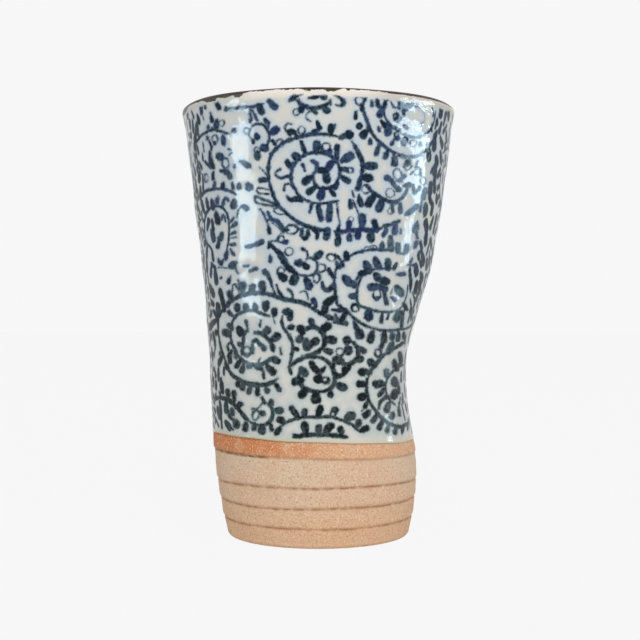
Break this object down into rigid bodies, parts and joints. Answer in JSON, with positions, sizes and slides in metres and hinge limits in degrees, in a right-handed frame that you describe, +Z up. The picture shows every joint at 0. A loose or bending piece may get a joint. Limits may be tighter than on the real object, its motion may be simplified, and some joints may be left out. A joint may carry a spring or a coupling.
{
  "type": "yunomi tea cup",
  "caption": "Tall tapered tea cup with a patterned glaze coat, an iron-brown rim, a bare turned clay foot and a pressed thumb hollow.",
  "frame": {"origin": "centre of the standing ring, on the surface the cup stands on", "axes": "+Z up along the cup's axis, +X towards the thumb hollow; the picture looks along +Y"},
  "size_m": [0.084, 0.084, 0.1299],
  "materials": {
    "bare_clay": "matt unglazed tan stoneware with a sandy speckle and an orange flashed band",
    "outer_glaze": "glossy warm white glaze over cobalt scrollwork",
    "inner_glaze": "glossy warm white glaze",
    "iron_rim": "semi-gloss iron brown wash"
  },
  "bodies": {
    "root": {"clay_body": "bare_clay", "outer_glaze": "outer_glaze", "inner_glaze": "inner_glaze", "iron_rim": "iron_rim"}
  },
  "joints": []
}
